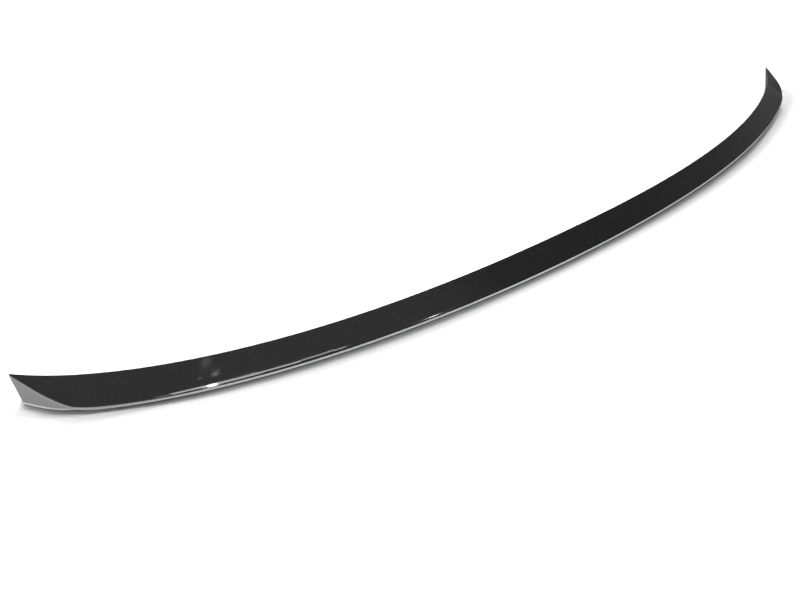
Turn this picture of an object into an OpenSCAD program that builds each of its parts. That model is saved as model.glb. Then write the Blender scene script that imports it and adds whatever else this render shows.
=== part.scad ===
// Boot-lid lip spoiler, one moulded piece, lying on its flat bonding rim.
// X runs across the car, -Y is the bowed side, +Z is up, and the rim is at height zero.
// Two guide edges, near and far, are drawn in plan, and the face spans from one to the other.

/* [Overall] */
// Width across the two tips, mm
overall_w = 1180; // [1000:5:1300]
// Height of the raised far edge at the middle, mm
far_edge_h = 20.9; // [14:0.1:26]
// Height of the two tips, mm
tip_h = 26.2; // [20:0.1:36]

/* [Near edge seen from above] */
// Even part of its turn from the middle to a tip, degrees
near_bow = 16.66; // [8:0.01:24]
// Part of its turn that comes on towards the tip, degrees
near_sweep = 16.18; // [5:0.01:26]
// Turn that the end corner adds, degrees
corner_turn = 34.07; // [10:0.01:45]
// Where the corner starts, share of the run from the middle
corner_start = 0.847; // [0.75:0.001:0.9]
// Length of the corner, share of the run
corner_span = 0.1084; // [0.08:0.0001:0.2]

/* [Far edge seen from above] */
// Even part of its turn from the middle to a tip, degrees
far_bow = 20.08; // [8:0.01:26]
// Part of its turn that comes on towards the tip, degrees
far_sweep = 40.16; // [20:0.01:48]

/* [Face] */
// Plan width of the sloping face at the middle, mm
face_run = 26.6; // [20:0.1:36]
// Width left on top of the tip, mm
tip_w = 1.5; // [1:0.1:3]
// Fullness of the face above a flat one at the middle, mm
brow_h = 0.8; // [0.2:0.1:2]
// How close to the near edge the face rolls over, mm
brow_roll = 2.2; // [1:0.1:5]
// Rounding of the near edge, mm
near_edge_r = 0.7; // [0.4:0.1:1.2]
// Rounding of the raised far edge, mm
far_edge_r = 0.5; // [0.3:0.1:1.5]

/* [Near wall and end facets] */
// Height of the near wall at the middle, mm
near_edge_h = 2.4; // [1.5:0.1:4]
// Height of the upright band that runs along the foot from tip to tip, mm
band_h = 1.4; // [0.5:0.1:1.4]
// Height of the near wall where the crease leaves it, mm
crease_h = 9; // [5:0.1:13]
// How far the foot stands in under the near edge there, mm
foot_in = 6; // [2:0.1:9]
// How far the foot stands out past the crease at a tip, mm
foot_out = 5; // [0:0.1:9]
// Where the crease leaves the near edge, share of the run
crease_start = 0.9; // [0.86:0.001:0.94]
// How late the near wall grows before the crease, power of the run
wall_power = 9; // [5:0.1:14]
// Shape of the crease, power of its own run
crease_power = 0.75; // [0.7:0.01:1.2]
// How far the foot stops short of the tip, share of the run
foot_short = 0.023; // [0:0.001:0.05]

/* [Hidden side] */
// Lean of the back wall away from the face, degrees
back_draft = 3; // [1:0.5:6]
// Thickness of the moulded skin, mm
skin = 2.4; // [2:0.1:3]
// Width of the bonding land under the near wall, mm
land_w = 6; // [4:0.5:8]
// Where the open channel stops, share of the run
channel_end = 0.88; // [0.84:0.005:0.9]
// Number of ribs across the channel, odd for one at the middle
rib_count = 13; // [5:2:21]
// Thickness of a rib at its free edge, mm
rib_t = 2; // [1.5:0.1:3]
// How much wider each side of a rib is at the ceiling, mm
rib_draft = 0.4; // [0.2:0.1:1]
// Height of the ribs' free edges above the rim plane, mm
rib_clear = 1.2; // [0.5:0.1:1.5]

/* [Hidden] */

paint = [0.03, 0.03, 0.035];
rad = PI / 180;

// Steps of the edge curves, and rings in a rib bay, in the bay at a corner and from there to the tip
fine = 300;
bay_steps = 7;
corner_bay_steps = 14;
tip_steps = 16;

// Points of a section: steps of its two roundings, share of a side that they may take, and the face
near_arc = 4;
far_arc = 3;
arc_share = 0.45;
brow_points = 7;
brow_first = 0.05;
brow_last = 0.92;
channel_points = 4;

// How late the far edge climbs, the foot draws back and the far edge catches up, powers of the run
climb_power = 2;
foot_power = 8;
lag_power = 4;

// What the underside does at a station: open channel, rib or closed
open_mark = 1;
rib_mark = 2;
shut_mark = 0;

// Turn of each guide edge from the straight-across direction
function eased(k) = let (c = max(0, min(1, k))) c * c * (3 - 2 * c);
function near_turn(t) = near_bow * t + near_sweep * pow(t, 3)
    + corner_turn * eased((t - corner_start) / corner_span);
function far_turn(t) = far_bow * t + far_sweep * t * t;

// Plan of an edge for a run of one, found by adding up short steps
function run_of(turns) =
    let (steps = [for (i = [0 : fine - 1]) let (a = turns[i], b = turns[i + 1])
        [cos(a) + cos(b), sin(a) + sin(b)] / (2 * fine)])
    [for (i = 0, p = [0, 0]; i <= fine; p = i < fine ? p + steps[i] : p, i = i + 1) p];
near_unit = run_of([for (i = [0 : fine]) near_turn(i / fine)]);
far_unit = run_of([for (i = [0 : fine]) far_turn(i / fine)]);
near_len = overall_w / 2 / near_unit[fine][0];
far_len = (overall_w / 2 - tip_w) / far_unit[fine][0];
tip_y = near_len * near_unit[fine][1];
far_depth = (tip_y - face_run) / far_unit[fine][1];

// Points of the two edges, paired so that the face is spanned square to the near edge at the middle
function along(unit, t) = let (f = min(t, 1) * fine, i = min(floor(f), fine - 1), k = f - i)
    unit[i] * (1 - k) + unit[i + 1] * k;
lag = 1 - (near_len - face_run * near_bow * rad) / far_len;
function far_share(t) = t * (1 - lag * (1 - pow(t, lag_power)));
function near_at(t) = near_len * along(near_unit, t);
function far_at(t) = let (p = along(far_unit, far_share(t))) [far_len * p[0], face_run + far_depth * p[1]];
function span_at(t) = far_at(t) - near_at(t);
function across(t) = let (d = span_at(t)) d / norm(d);

// Heights and widths along the run
function before(t) = pow(min(1, t / crease_start), wall_power);
function beyond(t) = max(0, (t - crease_start) / (1 - crease_start));
function near_h(t) = near_edge_h + (crease_h - near_edge_h) * before(t)
    + (tip_h - crease_h) * pow(beyond(t), crease_power);
function far_h(t) = far_edge_h + (tip_h - far_edge_h) * pow(far_share(t), climb_power);
function face_w(t) = norm(span_at(t));
function foot_set(t) = foot_in * before(t) - (foot_in + foot_out) * beyond(t);
function back_w(t) = face_w(t) + far_h(t) * tan(back_draft);
function slope_at(t) = (far_h(t) - near_h(t)) / face_w(t);
function foot_t(t) = t * (1 - foot_short * pow(t, foot_power));

// Arc that rounds the corner b between a and c, kept short of half of each side
function arc_round(a, b, c, r, n) =
    let (u = (a - b) / norm(a - b), v = (c - b) / norm(c - b),
         half = acos(max(-1, min(1, u * v))) / 2,
         reach = min(r / tan(half), arc_share * min(norm(a - b), norm(c - b))),
         middle = b + (u + v) / norm(u + v) * reach / cos(half),
         p = b + u * reach - middle, q = b + v * reach - middle,
         bend = 2 * (90 - half))
    [for (i = [0 : n]) middle + (p * sin((1 - i / n) * bend) + q * sin(i / n * bend)) / sin(bend)];

// Face of the section: it rolls over towards the near edge and is nearly flat above
function brow(t) =
    [for (i = [0 : brow_points]) let (v = brow_first + (brow_last - brow_first) * pow(i / brow_points, 2),
        w = face_w(t), full = brow_h * w / face_run * (1 - v) * (1 - exp(-v * face_run / brow_roll)))
        [v * w, near_h(t) + slope_at(t) * v * w + full]];

// Outside of the section, as [distance in from the near edge, height]
function outside(t) =
    let (foot = [foot_set(t), 0], band = [foot_set(t), band_h], near = [0, near_h(t)], face = brow(t),
         far = [face_w(t), far_h(t)], back = [back_w(t), 0])
    concat([foot, band], arc_round(band, near, face[0], near_edge_r, near_arc), face,
           arc_round(face[brow_points], far, back, far_edge_r, far_arc), [back]);

// Underside of the section, from the back wall to the near land
function ceiling(t, o) = near_h(t) + slope_at(t) * o - skin * sqrt(1 + slope_at(t) * slope_at(t));
function channel(t, mark) =
    let (a = foot_set(t) + land_w, b = face_w(t) - skin,
         za = mark == rib_mark ? rib_clear : ceiling(t, a),
         zb = mark == rib_mark ? rib_clear : ceiling(t, b),
         top = ceiling(t, b))
    [[b + top * tan(back_draft), 0], [b + (top - zb) * tan(back_draft), zb], [a, za], [a, 0]];
function closed(t) = let (a = foot_set(t), b = back_w(t))
    [for (k = [channel_points : -1 : 1]) [a + (b - a) * k / (channel_points + 1), 0]];
function section(t, mark) = concat(outside(t), mark == shut_mark ? closed(t) : channel(t, mark));

// Stations of one half as [share of the run, mark], bay by bay and then to the tip
half_bays = (rib_count + 1) / 2;
pitch = channel_end / half_bays;
rib_half = rib_t / 2 / near_len;
draft_run = rib_draft / near_len;
function bay(k) =
    let (last = k + 1 == half_bays, a = k * pitch + rib_half, b = (k + 1) * pitch - (last ? 0 : rib_half),
         n = (k + 1) * pitch > corner_start ? corner_bay_steps : bay_steps,
         a_open = a + draft_run, b_open = b - draft_run)
    concat([[a, rib_mark]], [for (i = [0 : n]) [a_open + (b_open - a_open) * i / n, open_mark]],
           [[b, last ? shut_mark : rib_mark]]);
half_stations = concat([for (k = [0 : half_bays - 1]) each bay(k)],
    [for (i = [1 : tip_steps]) [channel_end + (1 - channel_end) * i / tip_steps, shut_mark]]);

// A section point set in space, its foot held back near the tips
function placed(t, q) =
    let (share = max(0, 1 - q[1] / near_h(t)), s = t + (foot_t(t) - t) * share,
         p = near_at(s) + across(s) * q[0])
    [p[0], p[1], q[1]];
right_rings = [for (s = half_stations) [for (q = section(s[0], s[1])) placed(s[0], q)]];
left_rings = [for (j = [len(right_rings) - 1 : -1 : 0]) [for (p = right_rings[j]) [-p[0], p[1], p[2]]]];
rings = concat(left_rings, right_rings);
ring_ys = [for (ring = rings) for (p = ring) p[1]];
mid_y = (min(ring_ys) + max(ring_ys)) / 2;

// Closed skin through rings of equal length, each end fanned from a point of its near edge
module swept(rings) {
    n = len(rings[0]);
    last = len(rings) - 1;
    hub = 2 + near_arc / 2;
    wrap = [for (j = [0 : last - 1]) for (i = [0 : n - 1]) let (a = j * n + i, b = j * n + (i + 1) % n)
        each [[a, b, b + n], [a, b + n, a + n]]];
    fan = [for (i = [1 : n - 2]) [hub, (hub + i) % n, (hub + i + 1) % n]];
    start = [for (f = fan) [f[0], f[2], f[1]]];
    stop = [for (f = fan) [last * n + f[0], last * n + f[1], last * n + f[2]]];
    polyhedron(points = [for (ring = rings) each ring], faces = concat(wrap, start, stop), convexity = 8);
}

module lip_moulding() {
    color(paint)
    translate([0, -mid_y, 0])
    swept(rings);
}

lip_moulding();
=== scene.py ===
import math

import bmesh
import bpy
from mathutils import Matrix, Vector


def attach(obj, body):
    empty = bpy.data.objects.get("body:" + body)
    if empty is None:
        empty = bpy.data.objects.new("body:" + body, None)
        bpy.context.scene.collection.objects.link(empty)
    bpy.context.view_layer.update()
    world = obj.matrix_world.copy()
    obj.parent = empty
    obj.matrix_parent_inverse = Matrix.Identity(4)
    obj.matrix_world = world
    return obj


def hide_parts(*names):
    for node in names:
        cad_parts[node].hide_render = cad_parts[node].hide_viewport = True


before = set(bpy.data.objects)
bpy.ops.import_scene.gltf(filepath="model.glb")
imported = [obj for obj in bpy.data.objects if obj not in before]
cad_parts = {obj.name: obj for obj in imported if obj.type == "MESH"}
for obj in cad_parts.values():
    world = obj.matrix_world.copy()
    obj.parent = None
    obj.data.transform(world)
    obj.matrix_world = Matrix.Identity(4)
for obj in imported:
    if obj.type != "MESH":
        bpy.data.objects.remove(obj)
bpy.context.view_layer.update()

WHITE = (1.0, 1.0, 1.0, 1.0)

# Camera: place, the way it looks, and its lens on a 36 mm wide sensor
CAMERA_AT = Vector((-0.66350, -0.61101, 0.56856))
CAMERA_AZIMUTH = math.radians(-37.358)
CAMERA_ELEVATION = math.radians(37.483)
CAMERA_CLIP = 0.01
LENS_MM = 39.131
SENSOR_MM = 36.0

# Smooth shading of the dressed copy
SHARP_ANGLE = math.radians(30)
MERGE_DISTANCE = 2e-6

# Gloss black moulded plastic, with pale flecks, flow marks and a faint orange peel; scales are per metre
BLACK = (0.0078, 0.0078, 0.0080, 1.0)
FLECK_GREY = (0.024, 0.024, 0.025, 1.0)
FLECK_SCALE, FLECK_DETAIL = 620.0, 2.0
FLECK_SPAN = (0.56, 0.70)
PLASTIC_IOR = 1.6
GLOSS_ROUGHNESS = (0.050, 0.085)
FLOW_SCALE, FLOW_DETAIL = 34.0, 3.0
FLOW_SPAN = (0.35, 0.65)
PEEL_SCALE, PEEL_DETAIL = 260.0, 1.0
PEEL_STRENGTH = 0.05
PEEL_DEPTH = 0.00012

# Grain of the two duller finishes
GRAIN_DETAIL = 3.0
GRAIN_SPAN = (0.3, 0.7)
GRAIN_STRENGTH = 0.12
GRAIN_DEPTH = 0.0001

# Near wall and end facets: the same plastic with a satin gloss, its colour painted a lighter grey as a painted
# sheen that stands in for the bright floor and lamps it reflects
PAINTED_SHEEN_GREYS = ((0.12, 0.12, 0.12, 1.0), (0.19, 0.19, 0.19, 1.0))
WALL_IOR = 1.9
WALL_ROUGHNESS = (0.26, 0.40)
WALL_SCALE = 700.0

# Painted reflection at the foot of that wall: a pale band standing in for the bright floor and lamps reflected
# there. Its top goes from the first height to the second over these distances from the middle, it fades out
# above, and its paleness along X, painted lighter or darker as the light falls along the part, is given as (x,
# share)
PAINTED_REFLECTION_GREYS = ((0.80, 0.80, 0.80, 1.0), (0.92, 0.92, 0.92, 1.0))
BAND_TOPS = (0.0032, 0.0010)
BAND_ENDS = (0.40, 0.54)
BAND_FADE = 0.0016
PAINTED_REFLECTION_RUN = ((-0.59, 0.82), (-0.42, 1.0), (-0.05, 1.0), (0.15, 0.68), (0.59, 0.58))

# Back wall and underside: unpolished black
RAW_BLACK = ((0.012, 0.012, 0.012, 1.0), (0.022, 0.022, 0.022, 1.0))
RAW_SPECULAR = 0.15
RAW_ROUGHNESS = (0.55, 0.75)
RAW_SCALE = 420.0

# Where the materials lie. The wall's faces, which carry the painted sheen, look outward from a point behind the
# part, at least so much, and their normals rise within a range; of the others, those that look up less than a
# limit are raw.
PAINTED_SHEEN_INDEX, RAW_INDEX = 1, 2
OUTWARD_FROM = 0.55
OUTWARD_SIDE = 0.55
OUTWARD_LEAST = 0.2
WALL_RISE = (-0.95, 0.5)
RAW_RISE = 0.3

# Studio: lamps that light the floor as (azimuth, elevation, share of the light), and their width
FLOOR_LAMPS = ((50, 15, 0.205), (60, 18, 0.03), (108, 29, 0.175), (-10, 30, 0.12), (-25, 27, 0.08),
               (-40, 24, 0.075), (-60, 12, 0.155), (20, 24, 0.05), (-150, 10, 0.055))
LAMP_WIDTH = math.radians(10)
FLOOR_SIZE = 16.0
FLOOR_DROP = 0.0003
FLOOR_WHITE = (0.95, 0.95, 0.95, 1.0)
SEEN_WHITE = (1.50, 1.50, 1.50, 1.0)
WORLD_GREY = (0.05, 0.05, 0.05, 1.0)

# Contact shade of the floor: the way it looks for the part, how fast it deepens and its darkest share
CONTACT_LOOKS = (0.0, 0.7, 0.7)
CONTACT_DEPTH = 3.2
CONTACT_LEAST = 0.10

# How deep the contact shade is along X and how far it reaches, as (x, share) and (x, metres): both are least
# under the overhang at the corners
CONTACT_RUN = ((-0.59, 1.0), (-0.571, 1.0), (-0.553, 0.8), (-0.535, 0.7), (-0.51, 0.7), (-0.487, 0.85),
               (-0.45, 1.0), (0.36, 1.0), (0.45, 0.7), (0.50, 0.4), (0.59, 0.4))
CONTACT_REACH = ((-0.59, 0.009), (-0.571, 0.0085), (-0.553, 0.0065), (-0.535, 0.0055), (-0.51, 0.0055),
                 (-0.487, 0.007), (-0.45, 0.009), (0.36, 0.009), (0.45, 0.006), (0.59, 0.005))

# Lamps that only the gloss shows, as (name, place, size, watts); each aims at this share of its x, and this y
GLOSS_LAMPS = (
    ("strip_tail", (-0.765, -0.80, 0.9), (0.07, 0.12), 0.05),
    ("strip_wide", (-0.565, -0.79, 0.9), (0.33, 0.19), 1.34),
    ("strip_middle", (-0.325, -0.785, 0.9), (0.15, 0.08), 0.257),
    ("strip_thin", (-0.163, -0.76, 0.9), (0.173, 0.042), 0.155),
    ("stick", (-0.598, -0.83, 0.9), (0.029, 0.25), 0.85),
    ("far_stick", (0.283, -0.85, 0.9), (0.045, 0.10), 0.55),
    ("bulb_high", (-0.521, -0.473, 0.9), (0.030, 0.020), 0.0021),
    ("bulb_right", (-0.505, -0.530, 0.9), (0.018, 0.010), 0.0028),
    ("bulb_left", (-0.552, -0.509, 0.9), (0.004, 0.004), 0.0008),
)
AIM_SHARE, AIM_Y = 0.6, -0.05

# Panel past the left end, as (place, aim, size, watts)
LEFT_PANEL = ((-1.6, -0.1, 0.25), (-0.6, 0.0, 0.0), (0.9, 0.5), 4.0)

# What the gloss shows of the room, as (x of the direction it looks in, brightness)
ROOM = ((-1.0, 0.46), (0.36, 0.46), (0.46, 0.40), (0.53, 0.26), (0.70, 0.21), (0.87, 0.22), (1.0, 0.29))


def camera_axes(azimuth, elevation):
    """Right, up and back of a camera that looks along +Y at azimuth 0."""
    right = Vector((math.cos(azimuth), math.sin(azimuth), 0.0))
    back = Vector((math.sin(azimuth) * math.cos(elevation),
                   -math.cos(azimuth) * math.cos(elevation), math.sin(elevation)))
    return right, back.cross(right), back


def add_camera():
    data = bpy.data.cameras.new("photo_camera")
    data.sensor_width = SENSOR_MM
    data.lens = LENS_MM
    data.clip_start = CAMERA_CLIP
    camera = bpy.data.objects.new("photo_camera", data)
    bpy.context.scene.collection.objects.link(camera)
    axes = Matrix(camera_axes(CAMERA_AZIMUTH, CAMERA_ELEVATION)).transposed()
    camera.matrix_world = Matrix.Translation(CAMERA_AT) @ axes.to_4x4()
    bpy.context.scene.camera = camera


def new_material(name):
    material = bpy.data.materials.new(name)
    material.use_nodes = True
    return material, material.node_tree.nodes, material.node_tree.links


def fill(links, socket, value):
    """Give an input its value, by a link where the value is another node's output."""
    if isinstance(value, bpy.types.NodeSocket):
        links.new(value, socket)
    else:
        socket.default_value = value


def coordinates(nodes, links, kind):
    """The three coordinates of one kind, apart."""
    place = nodes.new("ShaderNodeTexCoord")
    split = nodes.new("ShaderNodeSeparateXYZ")
    links.new(place.outputs[kind], split.inputs["Vector"])
    return split.outputs


def noise(nodes, links, scale, detail):
    """A noise texture on the part's own coordinates; gives its value socket."""
    place = nodes.new("ShaderNodeTexCoord")
    texture = nodes.new("ShaderNodeTexNoise")
    texture.inputs["Scale"].default_value = scale
    texture.inputs["Detail"].default_value = detail
    links.new(place.outputs["Object"], texture.inputs["Vector"])
    return texture.outputs["Fac"]


def computed(nodes, links, operation, *values):
    """The result of a maths node on numbers or sockets."""
    node = nodes.new("ShaderNodeMath")
    node.operation = operation
    for socket, value in zip(node.inputs, values):
        fill(links, socket, value)
    return node.outputs["Value"]


def ranged(nodes, links, source, taken, given):
    """A value mapped from one range to another, and held at its ends."""
    node = nodes.new("ShaderNodeMapRange")
    for name, value in zip(("From Min", "From Max", "To Min", "To Max"), (*taken, *given)):
        node.inputs[name].default_value = value
    links.new(source, node.inputs["Value"])
    return node.outputs["Result"]


def blended(nodes, links, factor, first, second):
    """A colour between two, by a factor from 0 to 1."""
    node = nodes.new("ShaderNodeMix")
    node.data_type = "RGBA"
    for name, value in (("Factor", factor), ("A", first), ("B", second)):
        fill(links, node.inputs[name], value)
    return node.outputs["Result"]


def scaled(nodes, links, colour, share):
    """A colour times a share."""
    node = nodes.new("ShaderNodeVectorMath")
    node.operation = "SCALE"
    links.new(colour, node.inputs[0])
    links.new(share, node.inputs["Scale"])
    return node.outputs["Vector"]


def ramped(nodes, links, source, stops):
    """Grey read off a run of (position, tone) stops."""
    ramp = nodes.new("ShaderNodeValToRGB")
    elements = ramp.color_ramp.elements
    first, last = stops[0][0], stops[-1][0]
    while len(elements) < len(stops):
        elements.new(0.5)
    for element, (x, tone) in zip(elements, stops):
        element.position = (x - first) / (last - first)
        element.color = (tone, tone, tone, 1.0)
    links.new(ranged(nodes, links, source, (first, last), (0.0, 1.0)), ramp.inputs["Fac"])
    return ramp.outputs["Color"]


def bumped(nodes, links, height, strength, depth):
    node = nodes.new("ShaderNodeBump")
    node.inputs["Strength"].default_value = strength
    node.inputs["Distance"].default_value = depth
    links.new(height, node.inputs["Height"])
    return node.outputs["Normal"]


def gloss_black():
    """Black plastic with a polished skin, pale flecks under it, flow marks in its gloss and orange peel."""
    material, nodes, links = new_material("gloss_black")
    shader = nodes["Principled BSDF"]
    shader.inputs["IOR"].default_value = PLASTIC_IOR
    flecks = ranged(nodes, links, noise(nodes, links, FLECK_SCALE, FLECK_DETAIL), FLECK_SPAN, (0.0, 1.0))
    links.new(blended(nodes, links, flecks, BLACK, FLECK_GREY), shader.inputs["Base Color"])
    flow = noise(nodes, links, FLOW_SCALE, FLOW_DETAIL)
    links.new(ranged(nodes, links, flow, FLOW_SPAN, GLOSS_ROUGHNESS), shader.inputs["Roughness"])
    peel = noise(nodes, links, PEEL_SCALE, PEEL_DETAIL)
    links.new(bumped(nodes, links, peel, PEEL_STRENGTH, PEEL_DEPTH), shader.inputs["Normal"])
    return material


def add_grain(nodes, links, grain, roughness):
    """The grain of a duller finish, in its sheen and its surface."""
    shader = nodes["Principled BSDF"]
    links.new(ranged(nodes, links, grain, GRAIN_SPAN, roughness), shader.inputs["Roughness"])
    links.new(bumped(nodes, links, grain, GRAIN_STRENGTH, GRAIN_DEPTH), shader.inputs["Normal"])


def satin_and_painted_sheen():
    """The same plastic with a satin skin and a fine grain in its tone and gloss, its colour painted lighter as a
    painted sheen, and a painted reflection as a pale band at the foot.
    """
    material, nodes, links = new_material("satin_and_painted_sheen")
    shader = nodes["Principled BSDF"]
    shader.inputs["IOR"].default_value = WALL_IOR
    grain = noise(nodes, links, WALL_SCALE, GRAIN_DETAIL)
    place = coordinates(nodes, links, "Object")
    # Painted reflection: a pale band at the foot that fades out above, its paleness along X painted to follow
    # how the light falls
    top = ranged(nodes, links, computed(nodes, links, "ABSOLUTE", place["X"]), BAND_ENDS, BAND_TOPS)
    height = computed(nodes, links, "SUBTRACT", place["Z"], top)
    above = ranged(nodes, links, height, (0.0, BAND_FADE), (0.0, 1.0))
    band = scaled(nodes, links, blended(nodes, links, grain, *PAINTED_REFLECTION_GREYS),
                  ramped(nodes, links, place["X"], PAINTED_REFLECTION_RUN))
    # Painted sheen: the wall's grey is lighter than the black plastic, standing in for reflected light
    wall = blended(nodes, links, grain, *PAINTED_SHEEN_GREYS)
    links.new(blended(nodes, links, above, band, wall), shader.inputs["Base Color"])
    add_grain(nodes, links, grain, WALL_ROUGHNESS)
    return material


def raw_black():
    """Unpolished plastic of the back wall and the underside."""
    material, nodes, links = new_material("raw_black")
    shader = nodes["Principled BSDF"]
    shader.inputs["Specular IOR Level"].default_value = RAW_SPECULAR
    grain = noise(nodes, links, RAW_SCALE, GRAIN_DETAIL)
    links.new(blended(nodes, links, grain, *RAW_BLACK), shader.inputs["Base Color"])
    add_grain(nodes, links, grain, RAW_ROUGHNESS)
    return material


def contact_shade(nodes, links):
    """Share of the floor's tone that is left next to the part."""
    near = nodes.new("ShaderNodeAmbientOcclusion")
    looks = nodes.new("ShaderNodeCombineXYZ")
    for socket, value in zip(looks.inputs, CONTACT_LOOKS):
        socket.default_value = value
    links.new(looks.outputs["Vector"], near.inputs["Normal"])
    x = coordinates(nodes, links, "Object")["X"]
    links.new(ramped(nodes, links, x, CONTACT_REACH), near.inputs["Distance"])
    deep = computed(nodes, links, "MULTIPLY_ADD", near.outputs["AO"], CONTACT_DEPTH, -CONTACT_DEPTH)
    eased = computed(nodes, links, "MULTIPLY", deep, ramped(nodes, links, x, CONTACT_RUN))
    return computed(nodes, links, "MAXIMUM", computed(nodes, links, "EXPONENT", eased), CONTACT_LEAST)


def mirrored(nodes, links, path):
    """One for rays that come off gloss or through glass."""
    return computed(nodes, links, "MAXIMUM", path.outputs["Is Glossy Ray"], path.outputs["Is Transmission Ray"])


def pale_floor():
    """White floor that keeps the shadow; gloss and glass see it as plain white."""
    material, nodes, links = new_material("pale_floor")
    nodes.remove(nodes["Principled BSDF"])
    path = nodes.new("ShaderNodeLightPath")
    white = blended(nodes, links, path.outputs["Is Camera Ray"], FLOOR_WHITE, SEEN_WHITE)
    matt = nodes.new("ShaderNodeBsdfDiffuse")
    links.new(scaled(nodes, links, white, contact_shade(nodes, links)), matt.inputs["Color"])
    glow = nodes.new("ShaderNodeEmission")
    mix = nodes.new("ShaderNodeMixShader")
    links.new(mirrored(nodes, links, path), mix.inputs["Fac"])
    links.new(matt.outputs["BSDF"], mix.inputs[1])
    links.new(glow.outputs["Emission"], mix.inputs[2])
    links.new(mix.outputs["Shader"], nodes["Material Output"].inputs["Surface"])
    return material


def dressed_copy(name):
    """A smooth-shaded copy of a CAD node, which stands for it."""
    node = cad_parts[name]
    mesh = node.data.copy()
    shape = bmesh.new()
    shape.from_mesh(mesh)
    bmesh.ops.remove_doubles(shape, verts=shape.verts, dist=MERGE_DISTANCE)
    bmesh.ops.recalc_face_normals(shape, faces=shape.faces)
    for face in shape.faces:
        face.smooth = True
    for edge in shape.edges:
        edge.smooth = len(edge.link_faces) == 2 and edge.calc_face_angle(math.pi) < SHARP_ANGLE
    shape.to_mesh(mesh)
    shape.free()
    piece = bpy.data.objects.new(name + "_gloss", mesh)
    bpy.context.scene.collection.objects.link(piece)
    weighted = piece.modifiers.new("even_normals", "WEIGHTED_NORMAL")
    weighted.keep_sharp = True
    return piece


def paint_sides(piece):
    """Satin with a painted sheen on the near wall and the end facets up to the crease, raw plastic on the back
    and the underside.
    """
    for face in piece.data.polygons:
        outward = Vector((face.center.x * OUTWARD_SIDE, face.center.y - OUTWARD_FROM, 0.0)).normalized()
        if WALL_RISE[0] < face.normal.z < WALL_RISE[1] and face.normal.dot(outward) >= OUTWARD_LEAST:
            face.material_index = PAINTED_SHEEN_INDEX
        elif face.normal.z < RAW_RISE:
            face.material_index = RAW_INDEX


def add_floor():
    bpy.ops.mesh.primitive_plane_add(size=FLOOR_SIZE, location=(0, 0, -FLOOR_DROP))
    floor = bpy.context.object
    floor.name = "floor"
    floor.data.materials.append(pale_floor())


def add_sun(azimuth, elevation, share):
    """A wide disc of light far away, which gives the floor its share of the light and casts shadows."""
    turn, rise = math.radians(azimuth), math.radians(elevation)
    data = bpy.data.lights.new("far_disc", "SUN")
    data.angle = LAMP_WIDTH
    data.energy = share * math.pi / math.sin(rise)
    lamp = bpy.data.objects.new("far_disc", data)
    bpy.context.scene.collection.objects.link(lamp)
    source = Vector((math.sin(turn) * math.cos(rise), math.cos(turn) * math.cos(rise), math.sin(rise)))
    lamp.rotation_euler = (-source).to_track_quat("-Z", "Y").to_euler()
    lamp.visible_glossy = False


def add_softbox(name, at, towards, size, watts):
    """A lamp that shows in the gloss and leaves the floor's shadow as it is."""
    data = bpy.data.lights.new(name, "AREA")
    data.shape = "RECTANGLE"
    data.size, data.size_y = size
    data.energy = watts
    lamp = bpy.data.objects.new(name, data)
    bpy.context.scene.collection.objects.link(lamp)
    lamp.location = at
    lamp.rotation_euler = (Vector(towards) - Vector(at)).to_track_quat("-Z", "Y").to_euler()
    lamp.visible_diffuse = False
    lamp.visible_camera = False


def add_world():
    """White to the camera, dim as a lamp, and a room of plain tones in the gloss."""
    world = bpy.data.worlds.new("studio")
    bpy.context.scene.world = world
    world.use_nodes = True
    nodes, links = world.node_tree.nodes, world.node_tree.links
    path = nodes.new("ShaderNodeLightPath")
    x = coordinates(nodes, links, "Generated")["X"]
    room = blended(nodes, links, mirrored(nodes, links, path), WORLD_GREY, ramped(nodes, links, x, ROOM))
    seen = blended(nodes, links, path.outputs["Is Camera Ray"], room, WHITE)
    links.new(seen, nodes["Background"].inputs["Color"])


def light_studio():
    add_world()
    for azimuth, elevation, share in FLOOR_LAMPS:
        add_sun(azimuth, elevation, share)
    for name, at, size, watts in GLOSS_LAMPS:
        add_softbox(name, at=at, towards=(at[0] * AIM_SHARE, AIM_Y, 0.0), size=size, watts=watts)
    at, towards, size, watts = LEFT_PANEL
    add_softbox("left_panel", at=at, towards=towards, size=size, watts=watts)


def main():
    add_camera()
    piece = dressed_copy("lip_moulding")
    piece.data.materials.clear()
    for material in (gloss_black(), satin_and_painted_sheen(), raw_black()):
        piece.data.materials.append(material)
    paint_sides(piece)
    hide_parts("lip_moulding")
    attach(piece, "root")
    add_floor()
    light_studio()
    bpy.context.scene.view_settings.view_transform = "Standard"


main()
